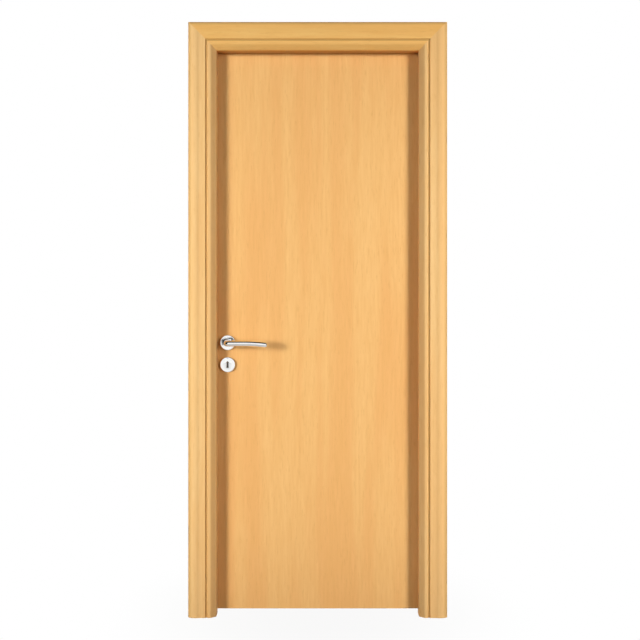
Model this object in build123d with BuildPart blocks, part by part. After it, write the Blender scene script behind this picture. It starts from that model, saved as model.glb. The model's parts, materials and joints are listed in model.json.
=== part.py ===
"""Flush interior door in its frame.

A veneered leaf hangs on three butt hinges in a frame of jambs with planted stops, trimmed by
mitred moulded casings on both sides of the wall. A mortise lock, lever handles on round roses
and round key roses complete it. Millimetres, +Z up. The origin lies on the outer face of the
hinge jamb, at floor level and in the middle of the wall. The casing side seen in use faces -Y,
and the leaf swings away from it, towards +Y.
"""

import math
import os

from build123d import *

os.makedirs("parts", exist_ok=True)

# Wall and frame
WALL_THICKNESS = 75.0
JAMB_THICKNESS = 22.0
STOP_PROJECTION = 19.5
STOP_ARRIS = 1.5

# Leaf
LEAF_WIDTH = 735.0
LEAF_HEIGHT = 1980.0
LEAF_THICKNESS = 40.0
SKIN_THICKNESS = 4.0
LOCK_STILE_WIDTH = 100.0
HINGE_STILE_WIDTH = 60.0
TOP_RAIL_HEIGHT = 60.0
BOTTOM_RAIL_HEIGHT = 90.0

# Running gaps round the leaf
HINGE_GAP = 5.0
LOCK_GAP = 7.0
HEAD_GAP = 5.0
FLOOR_GAP = 13.0
STOP_GAP = 5.0

# Casing moulding, from its outer edge inwards: heights above the wall, then widths
CASING_OUTER_EDGE = 8.0
CASING_CREST = 20.0
CASING_HOLLOW = 16.5
CASING_LIP = 19.0
CASING_BEAD = 18.0
CASING_INNER_EDGE = 3.0
FRONT_CASING_WIDTH = 98.0
BACK_CASING_MARGIN = 8.0
ROLL_WIDTH = 24.0
FALL_WIDTH = 18.0
LIP_WIDTH = 16.5
QUIRK_WIDTH = 7.5
QUIRK_FLOOR_WIDTH = 2.5
QUIRK_DEPTH = 5.0
BEAD_WIDTH = 4.0
ROUND_WIDTH = 12.0

# Tongue on each casing and the groove for it in the jamb edge
TONGUE_THICKNESS = 6.0
TONGUE_LENGTH = 11.0
TONGUE_INSET = 8.0
TONGUE_CLEARANCE = 0.2

# Butt hinges
HINGE_HEIGHT = 100.0
HINGE_PLATE_WIDTH = 30.0
HINGE_PLATE_THICKNESS = 2.5
HINGE_PLATE_CORNER = 6.0
KNUCKLE_COUNT = 5
KNUCKLE_RADIUS = 6.5
KNUCKLE_FACE_CLEARANCE = 0.5
KNUCKLE_END_CLEARANCE = 0.2
PIN_RADIUS = 3.0
PIN_CLEARANCE = 0.05
PIN_HEAD_HEIGHT = 3.0
PIN_HEAD_BEVEL = 1.5
UPPER_HINGE_FROM_TOP = 200.0
LOWER_HINGE_FROM_BOTTOM = 225.0

# Lock, bolts and strike
BACKSET = 48.0
SPINDLE_HEIGHT = 955.0
KEY_DISTANCE = 78.0
SPINDLE_SIDE = 8.0
SPINDLE_HOLE_RADIUS = 8.0
CASE_DEPTH = 72.0
CASE_THICKNESS = 14.0
CASE_ABOVE_SPINDLE = 50.0
CASE_BELOW_KEY = 32.0
CASE_CLEARANCE = 0.3
KEYWAY_WEB = 4.0
FACEPLATE_WIDTH = 22.0
FACEPLATE_THICKNESS = 3.0
FACEPLATE_OVERHANG = 37.0
LATCH_HEIGHT = 22.0
LATCH_THICKNESS = 12.0
LATCH_ABOVE_SPINDLE = 24.0
LATCH_BEVEL = 9.0
DEAD_BOLT_HEIGHT = 34.0
DEAD_BOLT_THICKNESS = 10.0
DEAD_BOLT_ABOVE_KEY = 8.0
BOLT_LENGTH = 20.0
BOLT_CLEARANCE = 0.3
STRIKE_WIDTH = 24.0
STRIKE_THICKNESS = 2.0
STRIKE_OVERHANG = 40.0
STRIKE_LIP_HEIGHT = 44.0
STRIKE_HOLE_CLEARANCE = 1.0
STRIKE_POCKET_DEPTH = 10.0
PLATE_CORNER = 4.0

# Keyhole
KEYHOLE_EYE_RADIUS = 4.0
KEYHOLE_SLOT_TOP = 6.0
KEYHOLE_SLOT_BOTTOM = 7.6
KEYHOLE_EYE_TO_FOOT = 19.0
KEYHOLE_EYE_ABOVE_CENTRE = 8.0

# Roses and lever handles
ROSE_RADIUS = 27.0
ROSE_THICKNESS = 8.0
ROSE_ROUND = 2.5
NECK_CLEARANCE = 0.3
LEVER_SKIN_CLEARANCE = 1.0
NECK_RADIUS = 10.5
NECK_BASE_LENGTH = 16.0
GRIP_RADIUS = 9.0
GRIP_OFFSET = 60.0
ELBOW_RADIUS = 16.0
GRIP_REACH = 145.0
DROOP_REACH = 80.0
DROOP_RADIUS = 570.0
GRIP_TIP_ROUND = 8.0
SOCKET_DEPTH = 30.0

# Places along X, from the origin on the hinge jamb's outer face
x_hinge_face = -JAMB_THICKNESS
x_leaf_hinge = x_hinge_face - HINGE_GAP
x_leaf_lock = x_leaf_hinge - LEAF_WIDTH
x_lock_face = x_leaf_lock - LOCK_GAP
x_lock_outer = x_lock_face - JAMB_THICKNESS
x_clear_hinge = x_hinge_face - STOP_PROJECTION
x_clear_lock = x_lock_face + STOP_PROJECTION
x_casing_hinge = x_clear_hinge + FRONT_CASING_WIDTH
x_casing_lock = x_clear_lock - FRONT_CASING_WIDTH
x_spindle = x_leaf_lock + BACKSET

# Places along Y, front to back
y_front = -WALL_THICKNESS / 2
y_back = WALL_THICKNESS / 2
y_leaf_back = y_back
y_leaf_front = y_leaf_back - LEAF_THICKNESS
y_leaf_middle = (y_leaf_front + y_leaf_back) / 2
y_core_front = y_leaf_front + SKIN_THICKNESS
y_core_back = y_leaf_back - SKIN_THICKNESS
y_stop_back = y_leaf_front - STOP_GAP

# Heights above the floor
z_leaf_bottom = FLOOR_GAP
z_leaf_top = z_leaf_bottom + LEAF_HEIGHT
z_head_face = z_leaf_top + HEAD_GAP
z_head_top = z_head_face + JAMB_THICKNESS
z_clear = z_head_face - STOP_PROJECTION
z_casing_top = z_clear + FRONT_CASING_WIDTH
z_spindle = SPINDLE_HEIGHT
z_key = z_spindle - KEY_DISTANCE
z_latch = z_spindle + LATCH_ABOVE_SPINDLE
z_dead_bolt = z_key + DEAD_BOLT_ABOVE_KEY

# Hinge line, in the middle of the gap and just clear of the leaf's back face
x_pin = x_hinge_face - HINGE_GAP / 2
y_pin = y_back + KNUCKLE_FACE_CLEARANCE + KNUCKLE_RADIUS
y_hinge_plate = y_back - HINGE_PLATE_WIDTH
x_door_plate = x_leaf_hinge - HINGE_PLATE_THICKNESS
upper_hinge_height = z_leaf_top - UPPER_HINGE_FROM_TOP
lower_hinge_height = z_leaf_bottom + LOWER_HINGE_FROM_BOTTOM
HINGE_HEIGHTS = {
    "upper": upper_hinge_height,
    "middle": (upper_hinge_height + lower_hinge_height) / 2,
    "lower": lower_hinge_height,
}
knuckle_pitch = HINGE_HEIGHT / KNUCKLE_COUNT

# Lock case and plates, along the leaf's lock edge
x_faceplate_back = x_leaf_lock + FACEPLATE_THICKNESS
x_case_back = x_faceplate_back + CASE_DEPTH
z_case_top = z_spindle + CASE_ABOVE_SPINDLE
z_case_bottom = z_key - CASE_BELOW_KEY
y_case_front = y_leaf_middle - CASE_THICKNESS / 2
y_case_back = y_leaf_middle + CASE_THICKNESS / 2
keyway_depth = (CASE_THICKNESS - KEYWAY_WEB) / 2
x_bolt_back = x_leaf_lock + BOLT_LENGTH


def save(part, name):
    """Labels a finished piece and writes it as its own STEP file."""
    part.label = name
    export_step(part, f"parts/{name}.step")


def block(low, high, mode=Mode.ADD):
    """Adds to, or cuts from, the part being built the box between two opposite corners."""
    size = [b - a for a, b in zip(low, high)]
    middle = tuple((a + b) / 2 for a, b in zip(low, high))
    with Locations(middle):
        Box(*size, mode=mode)


def jamb_section():
    """Draws a jamb's section: rebate face on the local Y axis, a tongue groove in each edge."""
    groove_width = TONGUE_THICKNESS + 2 * TONGUE_CLEARANCE
    groove_depth = TONGUE_LENGTH + TONGUE_CLEARANCE
    with Locations((JAMB_THICKNESS / 2, 0)):
        Rectangle(JAMB_THICKNESS, WALL_THICKNESS)
    groove_middle = JAMB_THICKNESS - TONGUE_INSET
    for edge in (-1, 1):
        with Locations((groove_middle, edge * (WALL_THICKNESS - groove_depth) / 2)):
            Rectangle(groove_width, groove_depth, mode=Mode.SUBTRACT)


def casing_section(width):
    """Draws a casing's section, outer edge at local X 0 and its back on the wall at local Y 0.

    A soft roll rises from the outer edge and falls into a hollow, which sweeps up to a lip. A
    quirk parts the lip from a bead, which rounds into the bevel down to the inner edge. A
    narrower casing has the same moulding, drawn narrower.
    """
    narrowing = width / FRONT_CASING_WIDTH
    steps = (ROLL_WIDTH, FALL_WIDTH, LIP_WIDTH, QUIRK_WIDTH, BEAD_WIDTH, ROUND_WIDTH / 2)
    ends = [narrowing * sum(steps[: count + 1]) for count in range(len(steps))]
    crest, hollow, lip, quirk_end, bead_end, corner = ends
    quirk_slope = narrowing * (QUIRK_WIDTH - QUIRK_FLOOR_WIDTH) / 2
    quirk_floor = CASING_LIP - QUIRK_DEPTH
    fall_middle = (crest + hollow) / 2
    bevel_start = corner + (corner - bead_end)
    bevel_drop = (CASING_BEAD - CASING_INNER_EDGE) * (bevel_start - corner) / (width - corner)
    round_end = (bevel_start, CASING_BEAD - bevel_drop)
    with BuildLine() as outline:
        Line((0, 0), (0, CASING_OUTER_EDGE))
        EllipticalCenterArc(
            (crest, CASING_OUTER_EDGE),
            crest,
            CASING_CREST - CASING_OUTER_EDGE,
            start_angle=90,
            arc_size=90,
        )
        Bezier(
            (crest, CASING_CREST),
            (fall_middle, CASING_CREST),
            (fall_middle, CASING_HOLLOW),
            (hollow, CASING_HOLLOW),
        )
        TangentArc((hollow, CASING_HOLLOW), (lip, CASING_LIP), tangent=(1, 0))
        Polyline(
            (lip, CASING_LIP),
            (lip + quirk_slope, quirk_floor),
            (quirk_end - quirk_slope, quirk_floor),
            (quirk_end, CASING_BEAD),
            (bead_end, CASING_BEAD),
        )
        Bezier((bead_end, CASING_BEAD), (corner, CASING_BEAD), round_end)
        Polyline(round_end, (width, CASING_INNER_EDGE), (width, 0), (0, 0))
    make_face(outline.edges())


def mitre(outer_x, towards_hinge):
    """Gives the mitre plane through an upper outer corner, its normal towards the side casing."""
    side = 1 if towards_hinge else -1
    return Plane(origin=(outer_x, 0, z_casing_top), z_dir=(side, 0, -1))


def keyhole():
    """Draws the keyhole about the local origin: a round eye over a slot that flares downwards."""
    foot = KEYHOLE_EYE_ABOVE_CENTRE - KEYHOLE_EYE_TO_FOOT
    with Locations((0, KEYHOLE_EYE_ABOVE_CENTRE)):
        Circle(KEYHOLE_EYE_RADIUS)
    with BuildLine() as slot:
        Polyline(
            (-KEYHOLE_SLOT_TOP / 2, KEYHOLE_EYE_ABOVE_CENTRE),
            (KEYHOLE_SLOT_TOP / 2, KEYHOLE_EYE_ABOVE_CENTRE),
            (KEYHOLE_SLOT_BOTTOM / 2, foot),
            (-KEYHOLE_SLOT_BOTTOM / 2, foot),
            close=True,
        )
    make_face(slot.edges())


def front_plane(y, height):
    """Gives the plane at depth y that faces the front, centred on the lock line at a height."""
    return Plane(origin=(x_spindle, y, height), x_dir=(1, 0, 0), z_dir=(0, -1, 0))


def cut_furniture_holes(y_start, y_end):
    """Cuts the spindle hole and the keyhole through the part being built."""
    with BuildSketch(front_plane(y_end, z_spindle)) as spindle_hole:
        Circle(SPINDLE_HOLE_RADIUS)
    extrude(spindle_hole.sketch, amount=y_end - y_start, mode=Mode.SUBTRACT)
    with BuildSketch(front_plane(y_end, z_key)) as key_hole:
        keyhole()
    extrude(key_hole.sketch, amount=y_end - y_start, mode=Mode.SUBTRACT)


def hinge_plate_outline(height):
    """Draws a hinge plate's outline, seen along X: inner corners rounded, knuckle edge square."""
    drawn_width = HINGE_PLATE_WIDTH + HINGE_PLATE_CORNER
    with Locations((y_hinge_plate + drawn_width / 2, height)):
        RectangleRounded(drawn_width, HINGE_HEIGHT, HINGE_PLATE_CORNER)
    with Locations((y_back + HINGE_PLATE_CORNER / 2, height)):
        Rectangle(HINGE_PLATE_CORNER, HINGE_HEIGHT, mode=Mode.SUBTRACT)


def hinge_recesses(x_low):
    """Cuts the three hinge plates' recesses into the part being built, each from x_low on."""
    for height in HINGE_HEIGHTS.values():
        with BuildSketch(Plane.YZ.offset(x_low)) as recess:
            hinge_plate_outline(height)
        extrude(recess.sketch, amount=HINGE_PLATE_THICKNESS, mode=Mode.SUBTRACT)


def mirrored_to_back(part):
    """Gives a piece of door furniture mirrored to the leaf's back face."""
    return mirror(part, about=Plane.XZ.offset(-y_leaf_middle), mode=Mode.PRIVATE)


# Jambs: two posts with the head between them
with BuildPart() as hinge_jamb:
    with BuildSketch(Plane(origin=(x_hinge_face, 0, 0), x_dir=(1, 0, 0), z_dir=(0, 0, 1))):
        jamb_section()
    extrude(amount=z_head_top)
    hinge_recesses(x_hinge_face)
save(hinge_jamb.part, "hinge_jamb")

z_strike_top = z_latch + LATCH_HEIGHT / 2 + STRIKE_OVERHANG
z_strike_bottom = z_dead_bolt - DEAD_BOLT_HEIGHT / 2 - STRIKE_OVERHANG
bolts = {
    "latch_bolt": (z_latch, LATCH_HEIGHT, LATCH_THICKNESS),
    "dead_bolt": (z_dead_bolt, DEAD_BOLT_HEIGHT, DEAD_BOLT_THICKNESS),
}


def bolt_ways(x_from, x_to, clearance):
    """Cuts the ways of the two bolts, wider than them all round, through the part being built."""
    for height, tall, thick in bolts.values():
        half_tall = tall / 2 + clearance
        half_thick = thick / 2 + clearance
        block(
            (x_from, y_leaf_middle - half_thick, height - half_tall),
            (x_to, y_leaf_middle + half_thick, height + half_tall),
            mode=Mode.SUBTRACT,
        )


def strike_outline():
    """Draws the strike's outline, seen along X: a plate with a lip out to the jamb's back edge."""
    with Locations((y_leaf_middle, (z_strike_top + z_strike_bottom) / 2)):
        RectangleRounded(STRIKE_WIDTH, z_strike_top - z_strike_bottom, PLATE_CORNER)
    with Locations(((y_leaf_middle + y_back) / 2, z_latch)):
        Rectangle(y_back - y_leaf_middle, STRIKE_LIP_HEIGHT)


with BuildPart() as lock_jamb:
    with BuildSketch(Plane(origin=(x_lock_face, 0, 0), x_dir=(-1, 0, 0), z_dir=(0, 0, 1))):
        jamb_section()
    extrude(amount=z_head_top)
    with BuildSketch(Plane.YZ.offset(x_lock_face - STRIKE_THICKNESS)):
        strike_outline()
    extrude(amount=STRIKE_THICKNESS, mode=Mode.SUBTRACT)
    x_pocket_floor = x_lock_face - STRIKE_THICKNESS - STRIKE_POCKET_DEPTH
    bolt_ways(x_pocket_floor, x_lock_face, STRIKE_HOLE_CLEARANCE)
save(lock_jamb.part, "lock_jamb")

with BuildPart() as head_jamb:
    with BuildSketch(Plane(origin=(x_hinge_face, 0, z_head_face), x_dir=(0, 0, 1), z_dir=(-1, 0, 0))):
        jamb_section()
    extrude(amount=x_hinge_face - x_lock_face)
save(head_jamb.part, "head_jamb")

# Stops: planted on the jambs, with the arris towards the leaf eased
with BuildPart() as hinge_side_stop:
    block((x_clear_hinge, y_front, 0), (x_hinge_face, y_stop_back, z_head_face))
    fillet(hinge_side_stop.edges().filter_by(Axis.Z).group_by(Axis.X)[0].sort_by(Axis.Y)[-1], STOP_ARRIS)
save(hinge_side_stop.part, "hinge_side_stop")

with BuildPart() as lock_side_stop:
    block((x_lock_face, y_front, 0), (x_clear_lock, y_stop_back, z_head_face))
    fillet(lock_side_stop.edges().filter_by(Axis.Z).group_by(Axis.X)[-1].sort_by(Axis.Y)[-1], STOP_ARRIS)
save(lock_side_stop.part, "lock_side_stop")

with BuildPart() as head_stop:
    block((x_clear_lock, y_front, z_clear), (x_clear_hinge, y_stop_back, z_head_face))
    fillet(head_stop.edges().filter_by(Axis.X).group_by(Axis.Z)[0].sort_by(Axis.Y)[-1], STOP_ARRIS)
save(head_stop.part, "head_stop")

# Casings: the same moulding on both sides of the wall, mitred at the head, tongued to the jambs
back_casing_width = x_casing_hinge - (x_hinge_face + BACK_CASING_MARGIN)
casing_sides = {
    "front": (y_front, -1, FRONT_CASING_WIDTH),
    "back": (y_back, 1, back_casing_width),
}
full_width = x_casing_hinge - x_casing_lock
x_tongue_hinge = -TONGUE_INSET
x_tongue_lock = x_lock_outer + TONGUE_INSET
z_tongue_head = z_head_top - TONGUE_INSET
half_tongue = TONGUE_THICKNESS / 2

for side, (y_wall, outward, width) in casing_sides.items():
    y_tongue = sorted((y_wall, y_wall - outward * TONGUE_LENGTH))

    with BuildPart() as casing_hinge_side:
        start = 0 if outward < 0 else z_casing_top
        rise = (0, 0, 1) if outward < 0 else (0, 0, -1)
        with BuildSketch(Plane(origin=(x_casing_hinge, y_wall, start), x_dir=(-1, 0, 0), z_dir=rise)):
            casing_section(width)
        extrude(amount=z_casing_top)
        split(bisect_by=mitre(x_casing_hinge, True), keep=Keep.TOP)
        block(
            (x_tongue_hinge - half_tongue, y_tongue[0], 0),
            (x_tongue_hinge + half_tongue, y_tongue[1], z_head_face),
        )
    save(casing_hinge_side.part, f"{side}_casing_hinge_side")

    with BuildPart() as casing_lock_side:
        start = z_casing_top if outward < 0 else 0
        rise = (0, 0, -1) if outward < 0 else (0, 0, 1)
        with BuildSketch(Plane(origin=(x_casing_lock, y_wall, start), x_dir=(1, 0, 0), z_dir=rise)):
            casing_section(width)
        extrude(amount=z_casing_top)
        split(bisect_by=mitre(x_casing_lock, False), keep=Keep.TOP)
        block(
            (x_tongue_lock - half_tongue, y_tongue[0], 0),
            (x_tongue_lock + half_tongue, y_tongue[1], z_head_face),
        )
    save(casing_lock_side.part, f"{side}_casing_lock_side")

    with BuildPart() as casing_head:
        start = x_casing_hinge if outward < 0 else x_casing_lock
        run = (outward, 0, 0)
        with BuildSketch(Plane(origin=(start, y_wall, z_casing_top), x_dir=(0, 0, -1), z_dir=run)):
            casing_section(width)
        extrude(amount=full_width)
        split(bisect_by=mitre(x_casing_hinge, True), keep=Keep.BOTTOM)
        split(bisect_by=mitre(x_casing_lock, False), keep=Keep.BOTTOM)
        block(
            (x_lock_face, y_tongue[0], z_tongue_head - half_tongue),
            (x_hinge_face, y_tongue[1], z_tongue_head + half_tongue),
        )
    save(casing_head.part, f"{side}_casing_head")

# Strike plate: flush in the lock jamb
with BuildPart() as strike_plate:
    with BuildSketch(Plane.YZ.offset(x_lock_face - STRIKE_THICKNESS)):
        strike_outline()
    extrude(amount=STRIKE_THICKNESS)
    bolt_ways(x_lock_face - STRIKE_THICKNESS, x_lock_face, STRIKE_HOLE_CLEARANCE)
save(strike_plate.part, "strike_plate")


# Leaf: a frame of stiles and rails between two skins, hollow between them
with BuildPart() as hinge_stile:
    block(
        (x_leaf_hinge - HINGE_STILE_WIDTH, y_core_front, z_leaf_bottom),
        (x_leaf_hinge, y_core_back, z_leaf_top),
    )
    hinge_recesses(x_door_plate)
save(hinge_stile.part, "hinge_stile")

z_faceplate_top = z_latch + LATCH_HEIGHT / 2 + FACEPLATE_OVERHANG
z_faceplate_bottom = z_dead_bolt - DEAD_BOLT_HEIGHT / 2 - FACEPLATE_OVERHANG


def faceplate_outline():
    """Draws the faceplate's rounded outline, seen along X."""
    with Locations((y_leaf_middle, (z_faceplate_top + z_faceplate_bottom) / 2)):
        RectangleRounded(FACEPLATE_WIDTH, z_faceplate_top - z_faceplate_bottom, PLATE_CORNER)


with BuildPart() as lock_stile:
    block(
        (x_leaf_lock, y_core_front, z_leaf_bottom),
        (x_leaf_lock + LOCK_STILE_WIDTH, y_core_back, z_leaf_top),
    )
    with BuildSketch(Plane.YZ.offset(x_leaf_lock)):
        faceplate_outline()
    extrude(amount=FACEPLATE_THICKNESS, mode=Mode.SUBTRACT)
    block(
        (x_faceplate_back, y_case_front - CASE_CLEARANCE, z_case_bottom - CASE_CLEARANCE),
        (x_case_back + CASE_CLEARANCE, y_case_back + CASE_CLEARANCE, z_case_top + CASE_CLEARANCE),
        mode=Mode.SUBTRACT,
    )
    cut_furniture_holes(y_core_front, y_core_back)
save(lock_stile.part, "lock_stile")

rails = {
    "top_rail": (z_leaf_top - TOP_RAIL_HEIGHT, z_leaf_top),
    "bottom_rail": (z_leaf_bottom, z_leaf_bottom + BOTTOM_RAIL_HEIGHT),
}
for name, (z_low, z_high) in rails.items():
    with BuildPart() as rail:
        block(
            (x_leaf_lock + LOCK_STILE_WIDTH, y_core_front, z_low),
            (x_leaf_hinge - HINGE_STILE_WIDTH, y_core_back, z_high),
        )
    save(rail.part, name)

skins = {
    "front_skin": (y_leaf_front, y_core_front),
    "back_skin": (y_core_back, y_leaf_back),
}
for name, (y_low, y_high) in skins.items():
    with BuildPart() as skin:
        block((x_leaf_lock, y_low, z_leaf_bottom), (x_leaf_hinge, y_high, z_leaf_top))
        cut_furniture_holes(y_low, y_high)
        if name == "back_skin":
            hinge_recesses(x_door_plate)
    save(skin.part, name)

# Hinges: the frame's leaf has the outer knuckles and the door's leaf those between
for place, height in HINGE_HEIGHTS.items():
    z_hinge_bottom = height - HINGE_HEIGHT / 2
    hinge_leaves = {
        "frame": (x_hinge_face, x_hinge_face + HINGE_PLATE_THICKNESS, 0),
        "door": (x_door_plate, x_leaf_hinge, 1),
    }
    for owner, (x_low, x_high, first_knuckle) in hinge_leaves.items():
        with BuildPart() as hinge_leaf:
            with BuildSketch(Plane.YZ.offset(x_low)):
                hinge_plate_outline(height)
            extrude(amount=HINGE_PLATE_THICKNESS)
            for number in range(first_knuckle, KNUCKLE_COUNT, 2):
                bottom_gap = KNUCKLE_END_CLEARANCE if number > 0 else 0
                top_gap = KNUCKLE_END_CLEARANCE if number < KNUCKLE_COUNT - 1 else 0
                z_low = z_hinge_bottom + number * knuckle_pitch + bottom_gap
                z_high = z_hinge_bottom + (number + 1) * knuckle_pitch - top_gap
                block((x_low, y_back, z_low), (x_high, y_pin, z_high))
                with BuildSketch(Plane(origin=(x_pin, y_pin, z_low))):
                    Circle(KNUCKLE_RADIUS)
                extrude(amount=z_high - z_low)
            with BuildSketch(Plane(origin=(x_pin, y_pin, z_hinge_bottom))):
                Circle(PIN_RADIUS + PIN_CLEARANCE)
            extrude(amount=HINGE_HEIGHT, mode=Mode.SUBTRACT)
        save(hinge_leaf.part, f"{place}_hinge_{owner}_leaf")

    with BuildPart() as hinge_pin:
        with BuildSketch(Plane(origin=(x_pin, y_pin, z_hinge_bottom))):
            Circle(PIN_RADIUS)
        extrude(amount=HINGE_HEIGHT)
        for z_head in (z_hinge_bottom - PIN_HEAD_HEIGHT, z_hinge_bottom + HINGE_HEIGHT):
            with BuildSketch(Plane(origin=(x_pin, y_pin, z_head))):
                Circle(KNUCKLE_RADIUS)
            extrude(amount=PIN_HEAD_HEIGHT)
        head_rims = hinge_pin.edges().filter_by(GeomType.CIRCLE).sort_by(Axis.Z)
        chamfer([head_rims[0], head_rims[-1]], PIN_HEAD_BEVEL)
    save(hinge_pin.part, f"{place}_hinge_pin")

# Mortise lock: case, faceplate, and the two bolts drawn back flush with the faceplate
with BuildPart() as lock_case:
    block((x_faceplate_back, y_case_front, z_case_bottom), (x_case_back, y_case_back, z_case_top))
    bolt_ways(x_faceplate_back, x_bolt_back, BOLT_CLEARANCE)
    with BuildSketch(front_plane(y_case_back, z_spindle)):
        Circle(SPINDLE_HOLE_RADIUS)
    extrude(amount=CASE_THICKNESS, mode=Mode.SUBTRACT)
    for y_floor in (y_case_front + keyway_depth, y_case_back):
        with BuildSketch(front_plane(y_floor, z_key)):
            keyhole()
        extrude(amount=keyway_depth, mode=Mode.SUBTRACT)
save(lock_case.part, "lock_case")

with BuildPart() as lock_faceplate:
    with BuildSketch(Plane.YZ.offset(x_leaf_lock)):
        faceplate_outline()
    extrude(amount=FACEPLATE_THICKNESS)
    bolt_ways(x_leaf_lock, x_faceplate_back, BOLT_CLEARANCE)
save(lock_faceplate.part, "lock_faceplate")

for name, (height, tall, thick) in bolts.items():
    with BuildPart() as bolt:
        block(
            (x_leaf_lock, y_leaf_middle - thick / 2, height - tall / 2),
            (x_bolt_back, y_leaf_middle + thick / 2, height + tall / 2),
        )
        if name == "latch_bolt":
            nose = bolt.edges().filter_by(Axis.Z).group_by(Axis.X)[0].sort_by(Axis.Y)[-1]
            chamfer(nose, LATCH_BEVEL)
    save(bolt.part, name)

# Roses: a turned disc under the lever and one round the keyhole, on each face of the leaf
rose_bore_radius = NECK_RADIUS + NECK_CLEARANCE
with BuildPart() as front_rose:
    with BuildSketch(front_plane(y_leaf_front, z_spindle)):
        Circle(ROSE_RADIUS)
    extrude(amount=ROSE_THICKNESS)
    fillet(front_rose.edges().filter_by(GeomType.CIRCLE).sort_by(Axis.Y)[0], ROSE_ROUND)
    with BuildSketch(front_plane(y_leaf_front, z_spindle)):
        Circle(rose_bore_radius)
    extrude(amount=ROSE_THICKNESS, mode=Mode.SUBTRACT)
save(front_rose.part, "front_rose")
save(mirrored_to_back(front_rose.part), "back_rose")

with BuildPart() as front_key_rose:
    with BuildSketch(front_plane(y_leaf_front, z_key)):
        Circle(ROSE_RADIUS)
    extrude(amount=ROSE_THICKNESS)
    fillet(front_key_rose.edges().filter_by(GeomType.CIRCLE).sort_by(Axis.Y)[0], ROSE_ROUND)
    with BuildSketch(front_plane(y_leaf_front, z_key)):
        keyhole()
    extrude(amount=ROSE_THICKNESS, mode=Mode.SUBTRACT)
save(front_key_rose.part, "front_key_rose")
save(mirrored_to_back(front_key_rose.part), "back_key_rose")

# Levers: a neck out of the rose, an elbow, a straight grip and a gentle droop to a rounded tip
y_neck_start = y_leaf_front - LEVER_SKIN_CLEARANCE
y_grip = y_leaf_front - GRIP_OFFSET
y_elbow = y_grip + ELBOW_RADIUS
x_elbow_end = x_spindle + ELBOW_RADIUS
x_droop = x_spindle + GRIP_REACH - DROOP_REACH
droop_angle = math.asin(DROOP_REACH / DROOP_RADIUS)
elbow_bulge = ELBOW_RADIUS * math.sqrt(0.5)


def droop_point(angle):
    """Gives the point on the grip's drooping end where it has turned by an angle."""
    drop = DROOP_RADIUS * (1 - math.cos(angle))
    return (x_droop + DROOP_RADIUS * math.sin(angle), y_grip, z_spindle - drop)


with BuildPart() as front_lever:
    with BuildLine() as grip_line:
        Line((x_spindle, y_neck_start, z_spindle), (x_spindle, y_elbow, z_spindle))
        ThreePointArc(
            (x_spindle, y_elbow, z_spindle),
            (x_elbow_end - elbow_bulge, y_elbow - elbow_bulge, z_spindle),
            (x_elbow_end, y_grip, z_spindle),
        )
        Line((x_elbow_end, y_grip, z_spindle), (x_droop, y_grip, z_spindle))
        ThreePointArc(droop_point(0), droop_point(droop_angle / 2), droop_point(droop_angle))
    with BuildSketch(front_plane(y_neck_start, z_spindle)):
        Circle(GRIP_RADIUS)
    sweep(path=grip_line.wires()[0])
    fillet(front_lever.faces().sort_by(Axis.X)[-1].edges(), GRIP_TIP_ROUND)
    with BuildSketch(front_plane(y_neck_start, z_spindle)):
        Circle(NECK_RADIUS)
    extrude(amount=NECK_BASE_LENGTH)
    with BuildSketch(front_plane(y_neck_start, z_spindle)):
        Rectangle(SPINDLE_SIDE, SPINDLE_SIDE)
    extrude(amount=SOCKET_DEPTH, mode=Mode.SUBTRACT)
save(front_lever.part, "front_lever")
save(mirrored_to_back(front_lever.part), "back_lever")

y_spindle_front = y_neck_start - SOCKET_DEPTH
y_spindle_back = 2 * y_leaf_middle - y_spindle_front
with BuildPart() as spindle:
    with BuildSketch(front_plane(y_spindle_back, z_spindle)):
        Rectangle(SPINDLE_SIDE, SPINDLE_SIDE)
    extrude(amount=y_spindle_back - y_spindle_front)
save(spindle.part, "spindle")
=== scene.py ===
"""Looks of the interior door: veneers, metals, fine mouldings, screws, studio and camera.

Metres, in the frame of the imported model: +Z up, and the side with the wide casing faces -Y.
The leaf hangs on the +X side and opens towards +Y.
"""

import json
import logging
import math
from collections.abc import Iterable, Mapping
from dataclasses import dataclass, field
from enum import Enum
from itertools import accumulate

import bmesh
import bpy
from mathutils import Matrix, Vector
from mathutils.geometry import interpolate_bezier


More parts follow.
